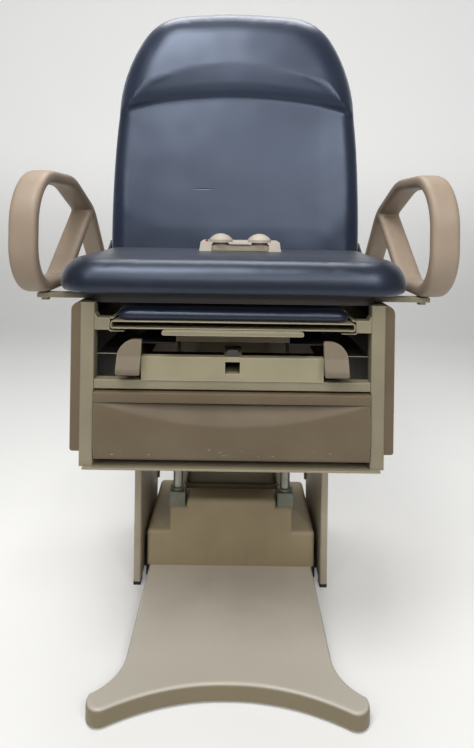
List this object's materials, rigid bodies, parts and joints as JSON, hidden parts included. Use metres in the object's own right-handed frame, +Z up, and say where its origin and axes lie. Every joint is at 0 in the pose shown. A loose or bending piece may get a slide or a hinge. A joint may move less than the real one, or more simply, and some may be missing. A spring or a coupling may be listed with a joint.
{
  "type": "examination table",
  "caption": "Powered-height examination table with padded seat, tilting back, looped assist rails, pull-out leg rest, stirrups and drawer on a telescopic lift and splayed foot plate.",
  "frame": {"origin": "on the floor under the middle of the part's box", "axes": "+Z up, -Y towards the foot end where the drawer opens, +X to the right seen from the foot end"},
  "size_m": [0.912, 0.9119, 1.6729],
  "materials": {
    "vinyl": "satin coated upholstery",
    "taupe_shell": "fine moulded texture",
    "rail_skin": "soft moulded skin",
    "beige_paint": "powder coat",
    "pale_paint": "satin enamel",
    "dark_frame": "black primer",
    "bright_steel": "ground",
    "grey_block": "cast and painted",
    "black_part": "matt",
    "board": "stained plywood",
    "rubber": "matt",
    "control_shell": "satin moulding"
  },
  "bodies": {
    "base": {"foot_plate": "pale_paint", "levelling_feet": "rubber", "base_frame": "dark_frame", "base_shroud": "taupe_shell", "base_uprights": "beige_paint", "upright_brackets": "dark_frame", "guide_blocks": "grey_block", "column_base": "taupe_shell", "ram_barrel": "grey_block", "pump_motor": "black_part", "oil_tank": "black_part", "power_inlet": "black_part"},
    "lift_stage_1": {"column_stage_1": "taupe_shell", "guide_rods_1": "bright_steel", "ram_stage_1": "bright_steel"},
    "lift_stage_2": {"column_stage_2": "taupe_shell", "guide_rods_2": "bright_steel", "ram_stage_2": "bright_steel"},
    "upper_body": {"column_top": "taupe_shell", "guide_rods_top": "bright_steel", "ram_rod": "bright_steel", "lift_plate": "dark_frame", "frame_posts": "beige_paint", "side_rails": "dark_frame", "seat_beams": "dark_frame", "front_rail": "beige_paint", "stirrup_crossbar": "beige_paint", "bottom_flanges": "beige_paint", "side_cover_right": "taupe_shell", "side_cover_left": "taupe_shell", "rear_cover": "taupe_shell", "cover_screws": "bright_steel", "extension_guides": "beige_paint", "stirrup_tubes": "beige_paint", "drawer_runners": "dark_frame", "pan_guides": "dark_frame", "seat_board": "board", "seat_cushion": "vinyl", "back_hinge_brackets": "dark_frame", "hinge_pins": "bright_steel", "assist_rail_right": "rail_skin", "assist_rail_left": "rail_skin", "rail_bars": "beige_paint", "rail_bolts": "bright_steel"},
    "backrest": {"back_cushion": "vinyl", "back_board": "board", "back_arms": "dark_frame"},
    "gas_barrels": {"gas_spring_barrels": "dark_frame"},
    "gas_rods": {"gas_spring_rods": "bright_steel"},
    "leg_extension": {"extension_tray": "beige_paint", "leg_pad": "vinyl", "pull_bar": "beige_paint"},
    "stirrup_right": {"stirrup_right": "taupe_shell"},
    "stirrup_left": {"stirrup_left": "taupe_shell"},
    "drawer": {"drawer_front": "taupe_shell", "drawer_box": "taupe_shell"},
    "pan": {"treatment_pan": "taupe_shell"},
    "control": {"control_housing": "control_shell"},
    "button_up": {"button_up": "control_shell"},
    "button_down": {"button_down": "control_shell"}
  },
  "joints": [
    {"name": "lift", "type": "slide", "parent": "base", "child": "upper_body", "axis": [0, 0, 1], "range_m": [-0.45, 0]},
    {"name": "lift_stage_1_slide", "type": "slide", "parent": "base", "child": "lift_stage_1", "axis": [0, 0, 1], "range_m": [-0.15, 0]},
    {"name": "lift_stage_2_slide", "type": "slide", "parent": "base", "child": "lift_stage_2", "axis": [0, 0, 1], "range_m": [-0.3, 0]},
    {"name": "back_tilt", "type": "hinge", "parent": "upper_body", "child": "backrest", "pos_m": [0, 0.04, 0.904], "axis": [1, 0, 0], "range_deg": [-80, 0]},
    {"name": "gas_spring_swing", "type": "hinge", "parent": "upper_body", "child": "gas_barrels", "pos_m": [0, 0.125, 0.575], "axis": [1, 0, 0], "range_deg": [0, 5.6]},
    {"name": "gas_spring_stroke", "type": "slide", "parent": "gas_barrels", "child": "gas_rods", "axis": [0, -0.0019, 1], "range_m": [-0.121, 0]},
    {"name": "leg_extension_slide", "type": "slide", "parent": "upper_body", "child": "leg_extension", "axis": [0, -1, 0], "range_m": [0, 0.3]},
    {"name": "stirrup_right_slide", "type": "slide", "parent": "upper_body", "child": "stirrup_right", "axis": [0, -1, 0], "range_m": [0, 0.28]},
    {"name": "stirrup_left_slide", "type": "slide", "parent": "upper_body", "child": "stirrup_left", "axis": [0, -1, 0], "range_m": [0, 0.28]},
    {"name": "drawer_slide", "type": "slide", "parent": "upper_body", "child": "drawer", "axis": [0, -1, 0], "range_m": [0, 0.29]},
    {"name": "pan_slide", "type": "slide", "parent": "upper_body", "child": "pan", "axis": [0, -1, 0], "range_m": [0, 0.26]},
    {"name": "control_lift_off", "type": "slide", "parent": "upper_body", "child": "control", "axis": [0, 0, 1], "range_m": [0, 0.25]},
    {"name": "button_up_press", "type": "slide", "parent": "control", "child": "button_up", "axis": [0, 0, -1], "range_m": [0, 0.006], "stiffness_N_per_m": 600, "springref_m": -0.003},
    {"name": "button_down_press", "type": "slide", "parent": "control", "child": "button_down", "axis": [0, 0, -1], "range_m": [0, 0.006], "stiffness_N_per_m": 600, "springref_m": -0.003}
  ],
  "couplings": [
    {"joint": "lift_stage_1_slide", "follows": "lift", "ratio": 0.33333},
    {"joint": "lift_stage_2_slide", "follows": "lift", "ratio": 0.66667},
    {"joint": "gas_spring_swing", "follows": "back_tilt", "ratio": -0.06889},
    {"joint": "gas_spring_stroke", "follows": "back_tilt", "m_per_rad": 0.085828}
  ]
}
